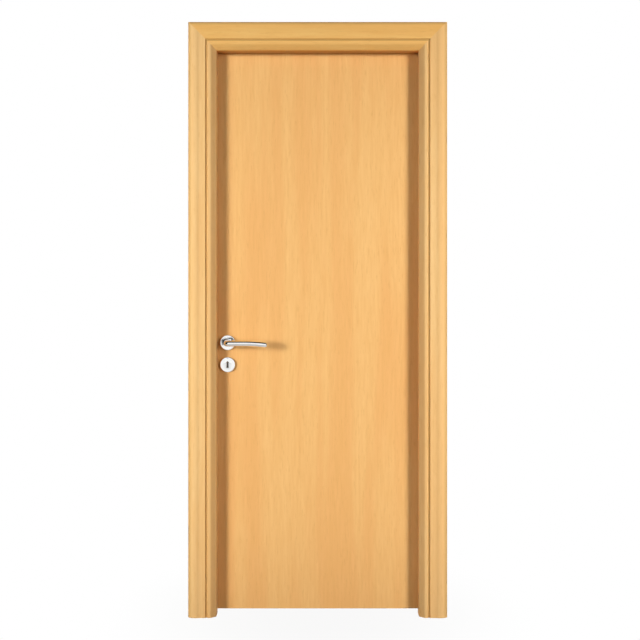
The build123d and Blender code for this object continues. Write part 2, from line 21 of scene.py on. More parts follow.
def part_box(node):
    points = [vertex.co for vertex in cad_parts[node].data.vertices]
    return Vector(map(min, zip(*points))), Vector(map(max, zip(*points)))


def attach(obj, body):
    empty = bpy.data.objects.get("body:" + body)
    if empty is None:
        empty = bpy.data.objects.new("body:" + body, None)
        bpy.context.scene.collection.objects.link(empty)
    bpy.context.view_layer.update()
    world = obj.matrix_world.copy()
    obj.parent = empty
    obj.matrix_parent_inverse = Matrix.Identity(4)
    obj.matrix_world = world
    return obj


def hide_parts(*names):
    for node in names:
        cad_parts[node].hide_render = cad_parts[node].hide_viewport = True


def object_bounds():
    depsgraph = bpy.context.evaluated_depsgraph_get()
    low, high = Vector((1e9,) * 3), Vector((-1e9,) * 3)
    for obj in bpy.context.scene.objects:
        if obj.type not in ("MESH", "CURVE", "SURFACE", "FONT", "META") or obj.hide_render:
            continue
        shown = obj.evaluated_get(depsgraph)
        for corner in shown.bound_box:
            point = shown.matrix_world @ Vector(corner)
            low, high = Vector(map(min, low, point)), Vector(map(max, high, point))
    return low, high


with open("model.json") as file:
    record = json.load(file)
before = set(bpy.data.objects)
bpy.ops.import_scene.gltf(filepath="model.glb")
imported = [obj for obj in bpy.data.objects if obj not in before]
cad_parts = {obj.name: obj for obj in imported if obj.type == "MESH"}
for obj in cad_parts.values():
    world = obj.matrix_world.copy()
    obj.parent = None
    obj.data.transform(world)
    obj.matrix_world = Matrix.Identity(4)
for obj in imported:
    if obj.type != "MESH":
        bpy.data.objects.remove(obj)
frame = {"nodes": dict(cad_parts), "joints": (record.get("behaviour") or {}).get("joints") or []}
cad_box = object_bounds()

MM = 0.001
QUARTER = math.pi / 2
RIGHT = Vector((1.0, 0.0, 0.0))
BACK = Vector((0.0, 1.0, 0.0))
UP = Vector((0.0, 0.0, 1.0))
LOG = logging.getLogger("interior_door")

# The attribute that paints shade onto a finish, and the average of a cloudy pattern.
PAINTED_SHADE_ATTRIBUTE = "painted_shade"
MEAN = 0.5

# Points nearer than WELD become one, and points nearer than CUT to a plane lie on it.
WELD = 0.002 * MM
CUT = 0.001 * MM

# Edges flatter than FLAT vanish, those past CREASE shade sharp, and those past KEEN are eased.
FLAT = math.radians(0.5)
CREASE = math.radians(24)
KEEN = math.radians(40)

# A face looks in a direction if its normal's share of it is more than this.
FACING = 0.9

Colour = tuple[float, float, float, float]
Point = tuple[float, float]
Span = tuple[float, float]


def shade(red: int, green: int, blue: int) -> Colour:
    """Turns a colour written in display values into the linear one that shaders take.

    Args:
        red: Display red, from 0 to 255.
        green: Display green, from 0 to 255.
        blue: Display blue, from 0 to 255.

    Returns:
        The linear colour, opaque.
    """
    # The display curve is straight near black and a power above that.
    parts = [value / 255 for value in (red, green, blue)]
    linear = [c / 12.92 if c <= 0.04045 else ((c + 0.055) / 1.055) ** 2.4 for c in parts]
    return (linear[0], linear[1], linear[2], 1.0)


@dataclass(frozen=True)
class Pattern:
    """A cloudy pattern: the length of one cloud across and along the grain, and its finer layers.

    Tint, height and roughening say how strongly it shows in a finish's colour, relief and roughness.
    """

    across: float
    along: float
    layers: float = 2.0
    tint: float = 0.0
    height: float = 0.0
    roughening: float = 0.0


class Wire:
    """A shader value that takes part in Python expressions, each adding its Math node."""

    def __init__(self, tree: "ShaderTree", socket: bpy.types.NodeSocket | None) -> None:
        """Wraps an output socket of a tree, or none for a node that ends the tree."""
        self.tree = tree
        self.socket = socket

    def _math(self, operation: str, first: "Wire | float", second: "Wire | float") -> "Wire":
        """Adds the Math node of an operation on two terms and gives its result."""
        return self.tree.add("ShaderNodeMath", {"operation": operation}, {0: first, 1: second})

    def __add__(self, other: "Wire | float") -> "Wire":
        """Gives self + other."""
        return self._math("ADD", self, other)

    def __radd__(self, other: float) -> "Wire":
        """Gives other + self."""
        return self._math("ADD", other, self)

    def __sub__(self, other: "Wire | float") -> "Wire":
        """Gives self - other."""
        return self._math("SUBTRACT", self, other)

    def __rsub__(self, other: float) -> "Wire":
        """Gives other - self."""
        return self._math("SUBTRACT", other, self)

    def __mul__(self, other: "Wire | float") -> "Wire":
        """Gives self * other."""
        return self._math("MULTIPLY", self, other)

    def __rmul__(self, other: float) -> "Wire":
        """Gives other * self."""
        return self._math("MULTIPLY", other, self)

    def between(self, low: float, high: float) -> "Wire":
        """Gives a soft step from 0 at low to 1 at high."""
        limits = {"Value": self, "From Min": low, "From Max": high}
        return self.tree.add("ShaderNodeMapRange", {"interpolation_type": "SMOOTHSTEP"}, limits)

    def clamped(self) -> "Wire":
        """Gives the value held between 0 and 1."""
        return self.tree.add("ShaderNodeClamp", {}, {"Value": self})


class ShaderTree:
    """The nodes of one material or of the world."""

    def __init__(self, owner: bpy.types.Material | bpy.types.World) -> None:
        """Empties the owner's node tree and takes it over.

        Args:
            owner: The material or the world.
        """
        owner.use_nodes = True
        self.tree = owner.node_tree
        self.tree.nodes.clear()

    def add(
        self,
        kind: str,
        settings: Mapping[str, object] | None = None,
        sockets: Mapping[str | int, object] | None = None,
        output: str | int = 0,
    ) -> Wire:
        """Adds one node.

        Args:
            kind: The node's type.
            settings: Its properties, set first.
            sockets: Values or wires for its inputs, by name or number.
            output: The output that the result stands for.

        Returns:
            The chosen output, ready for expressions.
        """
        node = self.tree.nodes.new(kind)
        for name, value in (settings or {}).items():
            setattr(node, name, value)
        for key, value in (sockets or {}).items():
            if isinstance(value, Wire):
                self.tree.links.new(value.socket, node.inputs[key])
            else:
                node.inputs[key].default_value = value
        return Wire(self, node.outputs[output] if node.outputs else None)

    def place(self) -> Wire:
        """Gives the Object coordinates."""
        return self.add("ShaderNodeTexCoord", output="Object")

    def mix(self, first: Colour | Wire, second: Colour | Wire, factor: Wire) -> Wire:
        """Mixes two colours by a factor.

        Args:
            first: The colour at factor 0.
            second: The colour at factor 1.
            factor: The share of the second colour.

        Returns:
            The mixed colour.
        """
        return self.add("ShaderNodeMix", {"data_type": "RGBA"}, {0: factor, 6: first, 7: second}, 2)

    def cloud(self, place: Wire, pattern: Pattern) -> Wire:
        """Adds a cloudy pattern.

        Args:
            place: The coordinates that it is laid on, with the grain along Z.
            pattern: Its sizes and finer layers.

        Returns:
            Its value, about MEAN on average.
        """
        scale = (1 / pattern.across, 1 / pattern.across, 1 / pattern.along)
        stretched = self.add("ShaderNodeMapping", {}, {"Vector": place, "Scale": scale})
        sockets = {"Vector": stretched, "Scale": 1.0, "Detail": pattern.layers}
        return self.add("ShaderNodeTexNoise", {}, sockets)

    def principled(self, sockets: Mapping[str, object], relief: Mapping[str, object]) -> None:
        """Ends a material in one principled shader.

        Args:
            sockets: Values or wires for the shader's inputs.
            relief: Values or wires for the bump that feeds its normal.
        """
        normal = self.add("ShaderNodeBump", {}, relief)
        shader = self.add("ShaderNodeBsdfPrincipled", {}, {**sockets, "Normal": normal})
        self.add("ShaderNodeOutputMaterial", {}, {"Surface": shader})


class GrainAxis(Enum):
    """Which way the grain of a piece runs, as the turn that brings it upright."""

    UP = (0.0, 0.0, 0.0)
    ACROSS = (0.0, QUARTER, 0.0)


@dataclass(frozen=True)
class WoodFinish:
    """Lacquered veneer with a fine straight grain, with shade painted in where a piece's attribute asks
    for it.
    """

    light: Colour
    rosy: Colour
    dark: Colour
    fleck: Colour
    # The colour of painted shade, mixed in by the piece's painted-shade attribute.
    painted_shade: Colour = shade(206, 160, 93)
    roughness: float = 0.42
    specular: float = 0.14
    relief: float = 0.12 * MM
    relief_strength: float = 0.35
    dark_share: float = 0.45
    sway: Pattern = Pattern(90 * MM, 420 * MM, 1.0)
    sway_reach: float = 14 * MM
    band: Pattern = Pattern(55 * MM, 900 * MM, 1.0, tint=0.7)
    rosy_edge: Span = (0.4, 0.62)
    streak: Pattern = Pattern(8 * MM, 110 * MM, 3.0, tint=1.2, height=0.25)
    fibre: Pattern = Pattern(1.1 * MM, 60 * MM, tint=0.4, height=0.6, roughening=0.16)
    dash: Pattern = Pattern(3 * MM, 32 * MM, 1.0, tint=0.22, height=-0.5, roughening=0.08)
    dash_edge: Span = (0.6, 0.72)

    def material(self, label: str, axis: GrainAxis, slip: float) -> bpy.types.Material:
        """Builds the material.

        Args:
            label: The material's name.
            axis: Which way the grain runs.
            slip: How far the grain is shifted, so that pieces differ, in metres.

        Returns:
            The finished material.
        """
        made = bpy.data.materials.new(label)
        tree = ShaderTree(made)
        turn = {"Vector": tree.place(), "Rotation": axis.value, "Location": (slip, slip, slip)}
        turned = tree.add("ShaderNodeMapping", {}, turn)
        sway = (tree.cloud(turned, self.sway) - MEAN) * self.sway_reach
        aside = tree.add("ShaderNodeCombineXYZ", {}, {"X": sway})
        grain = tree.add("ShaderNodeVectorMath", {"operation": "ADD"}, {0: turned, 1: aside})

        band = tree.cloud(grain, self.band)
        streak = tree.cloud(grain, self.streak)
        fibre = tree.cloud(grain, self.fibre)
        dash = tree.cloud(grain, self.dash).between(*self.dash_edge)

        figure = self.dark_share + (streak - MEAN) * self.streak.tint
        figure = figure + (fibre - MEAN) * self.fibre.tint + (band - MEAN) * self.band.tint
        ground = tree.mix(self.light, self.rosy, band.between(*self.rosy_edge))
        veined = tree.mix(ground, self.dark, figure.clamped())
        flecked = tree.mix(veined, self.fleck, dash * self.dash.tint)
        # Painted shade: the grain's colour is mixed towards the painted-shade colour by the piece's
        # attribute.
        painted_shade_mask = tree.add("ShaderNodeAttribute", {"attribute_name": PAINTED_SHADE_ATTRIBUTE}, output="Fac")
        rough = self.roughness + (fibre - MEAN) * self.fibre.roughening + dash * self.dash.roughening
        height = fibre * self.fibre.height + streak * self.streak.height + dash * self.dash.height
        surface = {
            "Base Color": tree.mix(flecked, self.painted_shade, painted_shade_mask),
            "Roughness": rough,
            "Specular IOR Level": self.specular,
        }
        relief = {"Height": height, "Strength": self.relief_strength, "Distance": self.relief}
        tree.principled(surface, relief)
        return made


@dataclass(frozen=True)
class RawBoardFinish:
    """Bare pressed board, on faces that the wall hides."""

    pale: Colour
    brown: Colour
    roughness: float = 0.72
    specular: float = 0.2
    relief: float = 0.25 * MM
    relief_strength: float = 0.4
    chip: Pattern = Pattern(5 * MM, 9 * MM, 3.0, tint=0.7)
    chip_edge: Span = (0.35, 0.65)
    dust: Pattern = Pattern(0.8 * MM, 0.8 * MM, tint=0.8, height=0.4, roughening=0.3)

    def material(self, label: str) -> bpy.types.Material:
        """Builds the material.

        Args:
            label: The material's name.

        Returns:
            The finished material.
        """
        made = bpy.data.materials.new(label)
        tree = ShaderTree(made)
        place = tree.place()
        chip = tree.cloud(place, self.chip)
        dust = tree.cloud(place, self.dust)
        mottle = chip.between(*self.chip_edge) * self.chip.tint + (dust - MEAN) * self.dust.tint
        surface = {
            "Base Color": tree.mix(self.pale, self.brown, mottle.clamped()),
            "Roughness": self.roughness + (dust - MEAN) * self.dust.roughening,
            "Specular IOR Level": self.specular,
        }
        height = chip + dust * self.dust.height
        relief = {"Height": height, "Strength": self.relief_strength, "Distance": self.relief}
        tree.principled(surface, relief)
        return made


@dataclass(frozen=True)
class MetalFinish:
    """Bare or plated metal, with its lay of fine marks and a little handling haze."""

    clean: Colour
    dull: Colour
    roughness: float
    haze: float
    marks: Pattern
    relief: float
    relief_strength: float = 0.25
    smudge: Pattern = Pattern(22 * MM, 22 * MM, 3.0)
    smudge_edge: Span = (0.45, 0.75)
    tint: float = 0.6

    def material(self, label: str) -> bpy.types.Material:
        """Builds the material.

        Args:
            label: The material's name.

        Returns:
            The finished material.
        """
        made = bpy.data.materials.new(label)
        tree = ShaderTree(made)
        place = tree.place()
        marks = tree.cloud(place, self.marks)
        smudge = tree.cloud(place, self.smudge).between(*self.smudge_edge)
        worn = smudge * self.tint + (marks - MEAN) * self.tint
        surface = {
            "Base Color": tree.mix(self.clean, self.dull, worn),
            "Metallic": 1.0,
            "Roughness": self.roughness + smudge * self.haze + (marks - MEAN) * self.haze,
        }
        relief = {"Height": marks, "Strength": self.relief_strength, "Distance": self.relief}
        tree.principled(surface, relief)
        return made


@dataclass(frozen=True)
class Palette:
    """Every material of the door."""

    casing_up: bpy.types.Material
    casing_across: bpy.types.Material
    jamb_up: bpy.types.Material
    jamb_across: bpy.types.Material
    stop_up: bpy.types.Material
    stop_across: bpy.types.Material
    leaf_face: bpy.types.Material
    leaf_edge: bpy.types.Material
    raw_board: bpy.types.Material
    polished: bpy.types.Material
    brushed: bpy.types.Material
    zinc: bpy.types.Material

    @staticmethod
    def mixed() -> "Palette":
        """Makes the materials of the door.

        Returns:
            The palette.
        """
        veneer = WoodFinish(
            light=shade(247, 197, 128),
            rosy=shade(245, 188, 121),
            dark=shade(235, 177, 106),
            fleck=shade(214, 154, 83),
        )
        # Lit and shaded copies of one veneer: the side casings' copy is painted whiter as a sheen, and
        # the head's copy is painted yellower with its red raised, as painted light for the weaker lamp
        # light at the top.
        side_trim_painted_sheen = WoodFinish(
            light=shade(252, 208, 143),
            rosy=shade(250, 201, 136),
            dark=shade(243, 191, 121),
            fleck=shade(224, 168, 98),
        )
        head_trim_painted_light = WoodFinish(
            light=shade(254, 204, 124),
            rosy=shade(252, 197, 118),
            dark=shade(247, 188, 105),
            fleck=shade(225, 166, 87),
        )
        lipping = WoodFinish(
            light=shade(240, 186, 120),
            rosy=shade(236, 176, 114),
            dark=shade(214, 152, 88),
            fleck=shade(190, 128, 70),
            roughness=0.55,
        )
        chrome = MetalFinish(
            clean=shade(250, 250, 248),
            dull=shade(240, 240, 238),
            roughness=0.03,
            haze=0.016,
            marks=Pattern(0.5 * MM, 0.5 * MM),
            relief=0.0005 * MM,
        )
        steel = MetalFinish(
            clean=shade(206, 205, 202),
            dull=shade(182, 180, 176),
            roughness=0.28,
            haze=0.10,
            marks=Pattern(0.3 * MM, 14 * MM),
            relief=0.03 * MM,
        )
        plating = MetalFinish(
            clean=shade(150, 149, 144),
            dull=shade(112, 108, 100),
            roughness=0.45,
            haze=0.12,
            marks=Pattern(6 * MM, 6 * MM),
            relief=0.04 * MM,
        )
        board = RawBoardFinish(pale=shade(202, 172, 130), brown=shade(158, 122, 80))
        return Palette(
            # The side casings take the copy with painted sheen, the head the copy with painted light.
            casing_up=side_trim_painted_sheen.material("casing_veneer_up_painted_sheen", GrainAxis.UP, slip=0.31),
            casing_across=head_trim_painted_light.material("casing_veneer_across_painted_light", GrainAxis.ACROSS, slip=1.17),
            jamb_up=veneer.material("jamb_veneer_up", GrainAxis.UP, slip=2.43),
            jamb_across=veneer.material("jamb_veneer_across", GrainAxis.ACROSS, slip=3.59),
            stop_up=veneer.material("stop_veneer_up", GrainAxis.UP, slip=4.71),
            stop_across=veneer.material("stop_veneer_across", GrainAxis.ACROSS, slip=5.83),
            leaf_face=veneer.material("leaf_veneer", GrainAxis.UP, slip=6.37),
            leaf_edge=lipping.material("leaf_lipping", GrainAxis.UP, slip=7.29),
            raw_board=board.material("raw_board"),
            polished=chrome.material("polished_chrome"),
            brushed=steel.material("brushed_steel"),
            zinc=plating.material("dull_zinc"),
        )


class Body(Enum):
    """The bodies that pieces move with."""

    FRAME = "frame"
    LEAF = "leaf"
    LEVERS = "lever_set"


class Slot(Enum):
    """The record's material slots."""

    CASING = "casing_veneer"
    JAMB = "jamb_veneer"
    LEAF = "leaf_veneer"
    LEAF_EDGE = "leaf_edge"
    PLATE = "plate_steel"
    HANDLE = "handle_metal"
    LOCK = "lock_case"


class Side(Enum):
    """The sides of the wall and of the leaf, as the pieces' names say them."""

    FRONT = "front"
    BACK = "back"


class Rounding(Enum):
    """What a bevel rounds."""

    EDGES = "EDGES"
    CORNERS = "VERTICES"


@dataclass(frozen=True)
class Tag:
    """Where a piece belongs: its body and its material slot."""

    body: Body
    slot: Slot


def verts_of(items: Iterable[object]) -> list[bmesh.types.BMVert]:
    """Picks the vertices out of what an operator gives."""
    return [item for item in items if isinstance(item, bmesh.types.BMVert)]


def edges_of(items: Iterable[object]) -> list[bmesh.types.BMEdge]:
    """Picks the edges out of what an operator gives."""
    return [item for item in items if isinstance(item, bmesh.types.BMEdge)]


def round_off(
    shape: bmesh.types.BMesh,
    geom: list[bmesh.types.BMEdge] | list[bmesh.types.BMVert],
    offset: float,
    segments: int,
    rounding: Rounding = Rounding.EDGES,
) -> None:
    """Rounds edges of a shape, or corners of a section.

    Args:
        shape: The shape.
        geom: The edges or the corners.
        offset: How far the rounding reaches.
        segments: Steps across it.
        rounding: Which of the two are given.
    """
    bmesh.ops.bevel(
        shape,
        geom=geom,
        offset=offset,
        offset_type="OFFSET",
        affect=rounding.value,
        segments=segments,
        profile=0.5,
        material=-1,
    )


def cut_through(
    shape: bmesh.types.BMesh, point: Vector, normal: Vector, clear: bool = False
) -> list[bmesh.types.BMEdge]:
    """Cuts a shape by a plane.

    Args:
        shape: The shape.
        point: A point on the plane.
        normal: The plane's normal.
        clear: Whether what lies on the normal's side is removed.

    Returns:
        The edges of the cut.
    """
    everything = shape.verts[:] + shape.edges[:] + shape.faces[:]
    made = bmesh.ops.bisect_plane(
        shape, geom=everything, dist=CUT, plane_co=point, plane_no=normal, clear_outer=clear
    )
    return edges_of(made["geom_cut"])


def hand_over(
    shape: bmesh.types.BMesh,
    name: str,
    materials: Iterable[bpy.types.Material],
    tag: Tag,
    node: str | None = None,
) -> None:
    """Turns a finished shape into a piece that moves with its body.

    Args:
        shape: The shape, in place. It is freed.
        name: The piece's name.
        materials: Its materials, in the order of the faces' material numbers.
        tag: Where it belongs.
        node: The node that it stands for, if it stands for one.
    """
    for face in shape.faces:
        face.smooth = True
    for edge in shape.edges:
        edge.smooth = edge.is_manifold and edge.calc_face_angle(math.pi) < CREASE
    mesh = bpy.data.meshes.new(name)
    shape.to_mesh(mesh)
    shape.free()
    piece = bpy.data.objects.new(name, mesh)
    bpy.context.scene.collection.objects.link(piece)
    for material in materials:
        mesh.materials.append(material)
    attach(piece, tag.body.value)
    if node:
        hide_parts(node)
    LOG.info("%s: %d faces on %s", name, len(mesh.polygons), tag.body.value)


def bare_towards(shape: bmesh.types.BMesh, direction: Vector) -> None:
    """Gives the faces that look in a direction the piece's second material.

    Args:
        shape: The shape.
        direction: The way that the faces look.
    """
    shape.normal_update()
    for face in shape.faces:
        if face.normal.dot(direction) > FACING:
            face.material_index = 1


def ease_node(
    node: str,
    materials: list[bpy.types.Material],
    tag: Tag,
    ease: float,
    segments: int = 2,
    shortest: float = 0.0,
    bare: Vector | None = None,
) -> None:
    """Stands a copy with eased arrises in for a node.

    Args:
        node: The node's name.
        materials: The copy's material, and then that of its bare faces if it has some.
        tag: Where it belongs.
        ease: Width of the eased arris, in metres.
        segments: Steps across the arris.
        shortest: Edges shorter than this stay as they are, in metres.
        bare: The way that its bare faces look.
    """
    shape = bmesh.new()
    shape.from_mesh(frame["nodes"][node].data)
    bmesh.ops.remove_doubles(shape, verts=shape.verts, dist=WELD)
    bmesh.ops.dissolve_limit(shape, angle_limit=FLAT, verts=shape.verts, edges=shape.edges)
    arrises = [
        edge
        for edge in shape.edges
        if edge.is_manifold and edge.calc_face_angle(0.0) > KEEN and edge.calc_length() > shortest
    ]
    round_off(shape, arrises, ease, segments)
    if bare is not None:
        bare_towards(shape, bare)
    hand_over(shape, f"{node}_eased", materials, tag, node)


def lock_middle() -> float:
    """Gives the middle of the lock case along Y, which is the middle of the leaf."""
    low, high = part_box("lock_case")
    return (low.y + high.y) / 2


class Outline:
    """A wire drawn in the XY plane of a shape, step by step."""

    def __init__(self, shape: bmesh.types.BMesh, start: Point) -> None:
        """Starts the wire.

        Args:
            shape: The shape that takes the wire.
            start: Its first point.
        """
        self.shape = shape
        self.first = shape.verts.new((*start, 0.0))
        self.tip = self.first

    def line(self, *points: Point) -> None:
        """Draws straight lines through points."""
        for x, y in points:
            made = bmesh.ops.extrude_vert_indiv(self.shape, verts=[self.tip])
            self.tip = made["verts"][0]
            self.tip.co = (x, y, 0.0)

    def arc(self, centre: Point, degrees: float, steps: int, stretch: Point = (1.0, 1.0)) -> None:
        """Draws a circular or elliptical arc.

        Args:
            centre: The arc's centre.
            degrees: How far it turns, anticlockwise.
            steps: Number of segments.
            stretch: Scale along X and Y about the centre that makes it an ellipse.
        """
        known = set(self.shape.verts)
        made = bmesh.ops.spin(
            self.shape,
            geom=[self.tip],
            cent=(*centre, 0.0),
            axis=UP,
            angle=math.radians(degrees),
            steps=steps,
        )
        drawn = [vert for vert in self.shape.verts if vert not in known]
        about = Matrix.Translation((-centre[0], -centre[1], 0.0))
        bmesh.ops.scale(self.shape, vec=(*stretch, 1.0), space=about, verts=drawn)
        self.tip = verts_of(made["geom_last"])[0]

    def curve(self, first: Point, second: Point, end: Point, steps: int) -> None:
        """Draws a cubic curve.

        Args:
            first: The handle at its start.
            second: The handle at its end.
            end: Its end.
            steps: Number of segments.
        """
        knots = [Vector((*place, 0.0)) for place in (first, second, end)]
        points = interpolate_bezier(self.tip.co.copy(), *knots, steps + 1)
        self.line(*((point.x, point.y) for point in points[1:]))

    def close(self) -> None:
        """Joins the wire's end to its start."""
        self.shape.edges.new((self.tip, self.first))


@dataclass(frozen=True)
class Moulding:
    """The casing's section: heights above the wall, then widths from its outer edge inwards."""

    outer_edge: float = 8 * MM
    crest: float = 20 * MM
    hollow: float = 18.5 * MM
    lip: float = 19 * MM
    bead: float = 18 * MM
    inner_edge: float = 4.5 * MM
    full_width: float = 98 * MM
    roll_width: float = 27 * MM
    fall_width: float = 15 * MM
    lip_width: float = 18.8 * MM
    quirk_width: float = 8 * MM
    quirk_floor_width: float = 5.5 * MM
    quirk_depth: float = 3.5 * MM
    bead_width: float = 3 * MM
    round_width: float = 15 * MM
    # Painted shade: how far it reaches in from the outer edge, and how strong it is in the quirk's
    # floor.
    painted_shade_width: float = 14 * MM
    quirk_painted_shade: float = 0.85
    arris: float = 0.6 * MM
    arris_steps: int = 4
    steps: int = 14

    def draw(self, shape: bmesh.types.BMesh, width: float) -> None:
        """Makes the section, X from the outer edge inwards and Y out of the wall, with shade painted
        along its outer edge and in its quirk.

        Args:
            shape: The shape that takes the section.
            width: The casing's whole width. A narrower casing has a narrower moulding.
        """
        narrowing = width / self.full_width
        widths = (
            self.roll_width,
            self.fall_width,
            self.lip_width,
            self.quirk_width,
            self.bead_width,
            self.round_width / 2,
        )
        crest, hollow, lip, quirk_end, bead_end, corner = (
            narrowing * place for place in accumulate(widths)
        )
        fall_middle = (crest + hollow) / 2
        sweep_rise = self.lip - self.hollow
        sweep_radius = ((lip - hollow) ** 2 + sweep_rise**2) / (2 * sweep_rise)
        sweep_turn = math.degrees(math.asin((lip - hollow) / sweep_radius))
        slope = narrowing * (self.quirk_width - self.quirk_floor_width) / 2
        quirk_floor = self.lip - self.quirk_depth
        bevel_start = 2 * corner - bead_end
        bevel_slope = (self.bead - self.inner_edge) / (width - corner)
        round_end = (bevel_start, self.bead - bevel_slope * (bevel_start - corner))

        outline = Outline(shape, (0.0, 0.0))
        outline.line((0.0, self.outer_edge))
        squat = (1.0, (self.crest - self.outer_edge) / crest)
        outline.arc((crest, self.outer_edge), -90, self.steps, squat)
        fall = ((fall_middle, self.crest), (fall_middle, self.hollow), (hollow, self.hollow))
        outline.curve(*fall, self.steps)
        outline.arc((hollow, self.hollow + sweep_radius), sweep_turn, self.steps)
        sunk = ((lip + slope, quirk_floor), (quirk_end - slope, quirk_floor))
        outline.line(*sunk, (quirk_end, self.bead), (bead_end, self.bead))
        knee = (corner, self.bead)
        outline.curve(knee, knee, round_end, self.steps)
        outline.line((width, self.inner_edge), (width, 0.0))
        outline.close()
        bmesh.ops.contextual_create(shape, geom=shape.edges[:])
        arrises = ((lip, self.lip), (quirk_end, self.bead), (width, self.inner_edge))
        corners = [self._near(shape, place) for place in arrises]
        round_off(shape, corners, self.arris, self.arris_steps, Rounding.CORNERS)
        # Painted shade: the finish darkens towards the outer edge and in the quirk's floor.
        painted_shade_mask = shape.verts.layers.float.new(PAINTED_SHADE_ATTRIBUTE)
        for vert in shape.verts:
            vert[painted_shade_mask] = max(0.0, 1 - vert.co.x / (narrowing * self.painted_shade_width))
        for place in sunk:
            self._near(shape, place)[painted_shade_mask] = self.quirk_painted_shade

    @staticmethod
    def _near(shape: bmesh.types.BMesh, place: Point) -> bmesh.types.BMVert:
        """Finds the section's corner at a place."""
        return min(shape.verts, key=lambda vert: (vert.co.xy - Vector(place)).length)


@dataclass(frozen=True)
class CasingRun:
    """One casing: where its outer edge starts, how it runs and the mitres that end it.

    A mitre is a point on the cut and the way towards what is cut away.
    """

    part: str
    start: Vector
    inward: Vector
    along: Vector
    length: float
    mitres: tuple[tuple[Vector, Vector], ...]
    veneer: bpy.types.Material


@dataclass
class Casings:
    """The six mitred casings."""

    palette: Palette
    moulding: Moulding = Moulding()

    def build(self) -> None:
        """Makes the three casings of each side of the wall."""
        wall_front, wall_back = (corner.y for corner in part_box("hinge_jamb"))
        self._side(Side.FRONT, wall_front, -BACK)
        self._side(Side.BACK, wall_back, BACK)

    def _side(self, side: Side, wall: float, out: Vector) -> None:
        """Makes the casings of one side of the wall.

        Args:
            side: The side.
            wall: Where the wall's face lies along Y.
            out: The way out of the wall.
        """
        hinge_low, hinge_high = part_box(f"{side.value}_casing_hinge_side")
        lock_low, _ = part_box(f"{side.value}_casing_lock_side")
        _, head_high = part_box(f"{side.value}_casing_head")
        width = hinge_high.x - hinge_low.x
        span = hinge_high.x - lock_low.x
        top = head_high.z
        hinge_foot = Vector((hinge_high.x, wall, 0.0))
        lock_foot = Vector((lock_low.x, wall, 0.0))
        lock_corner = lock_foot + UP * top
        hinge_mitre = (hinge_foot + UP * top, UP - RIGHT)
        lock_mitre = (lock_corner, UP + RIGHT)
        under = tuple((corner, -normal) for corner, normal in (hinge_mitre, lock_mitre))
        upright = self.palette.casing_up
        level = self.palette.casing_across
        for run in (
            CasingRun("hinge_side", hinge_foot, -RIGHT, UP, top, (hinge_mitre,), upright),
            CasingRun("lock_side", lock_foot, RIGHT, UP, top, (lock_mitre,), upright),
            CasingRun("head", lock_corner, -UP, RIGHT, span, under, level),
        ):
            shape = self._moulded(run, width, out)
            bare_towards(shape, -out)
            node = f"{side.value}_casing_{run.part}"
            materials = [run.veneer, self.palette.raw_board]
            hand_over(shape, f"{node}_moulded", materials, Tag(Body.FRAME, Slot.CASING), node)

    def _moulded(self, run: CasingRun, width: float, out: Vector) -> bmesh.types.BMesh:
        """Runs the moulding along a casing and cuts its mitres.

        Args:
            run: The casing.
            width: Its whole width.
            out: The way out of the wall.

        Returns:
            The casing, in place.
        """
        shape = bmesh.new()
        self.moulding.draw(shape, width)
        grown = bmesh.ops.extrude_face_region(shape, geom=shape.faces[:])["geom"]
        bmesh.ops.translate(shape, verts=verts_of(grown), vec=UP * run.length)
        axes = Matrix((run.inward, out, run.along)).transposed().to_4x4()
        place = Matrix.Translation(run.start) @ axes
        bmesh.ops.transform(shape, matrix=place, verts=shape.verts)
        for corner, normal in run.mitres:
            rim = cut_through(shape, corner, normal, clear=True)
            bmesh.ops.contextual_create(shape, geom=rim)
        bmesh.ops.recalc_face_normals(shape, faces=shape.faces)
        return shape


@dataclass
class Frame:
    """The jambs, the stops and the strike plate."""

    palette: Palette
    arris: float = 0.5 * MM
    plate_arris: float = 0.25 * MM

    def build(self) -> None:
        """Makes the jambs, stops and strike."""
        wood = Tag(Body.FRAME, Slot.JAMB)
        jambs = {
            "hinge_jamb": (self.palette.jamb_up, RIGHT),
            "lock_jamb": (self.palette.jamb_up, -RIGHT),
            "head_jamb": (self.palette.jamb_across, UP),
        }
        for node, (veneer, wall_side) in jambs.items():
            materials = [veneer, self.palette.raw_board]
            ease_node(node, materials, wood, self.arris, bare=wall_side)
        stops = {
            "hinge_side_stop": self.palette.stop_up,
            "lock_side_stop": self.palette.stop_up,
            "head_stop": self.palette.stop_across,
        }
        for node, veneer in stops.items():
            ease_node(node, [veneer], wood, self.arris)
        plate = Tag(Body.FRAME, Slot.PLATE)
        ease_node("strike_plate", [self.palette.brushed], plate, self.plate_arris)


@dataclass
class Leaf:
    """The leaf's skins, stiles and rails."""

    palette: Palette
    skin_arris: float = 0.5 * MM
    skin_edge: float = 200 * MM
    core_arris: float = 0.2 * MM

    def build(self) -> None:
        """Makes the skins and the wood between them."""
        face = [self.palette.leaf_face]
        skin = Tag(Body.LEAF, Slot.LEAF)
        for node in ("front_skin", "back_skin"):
            ease_node(node, face, skin, self.skin_arris, shortest=self.skin_edge)
        core = Tag(Body.LEAF, Slot.LEAF_EDGE)
        for node in ("hinge_stile", "lock_stile", "top_rail", "bottom_rail"):
            ease_node(node, [self.palette.leaf_edge], core, self.core_arris)


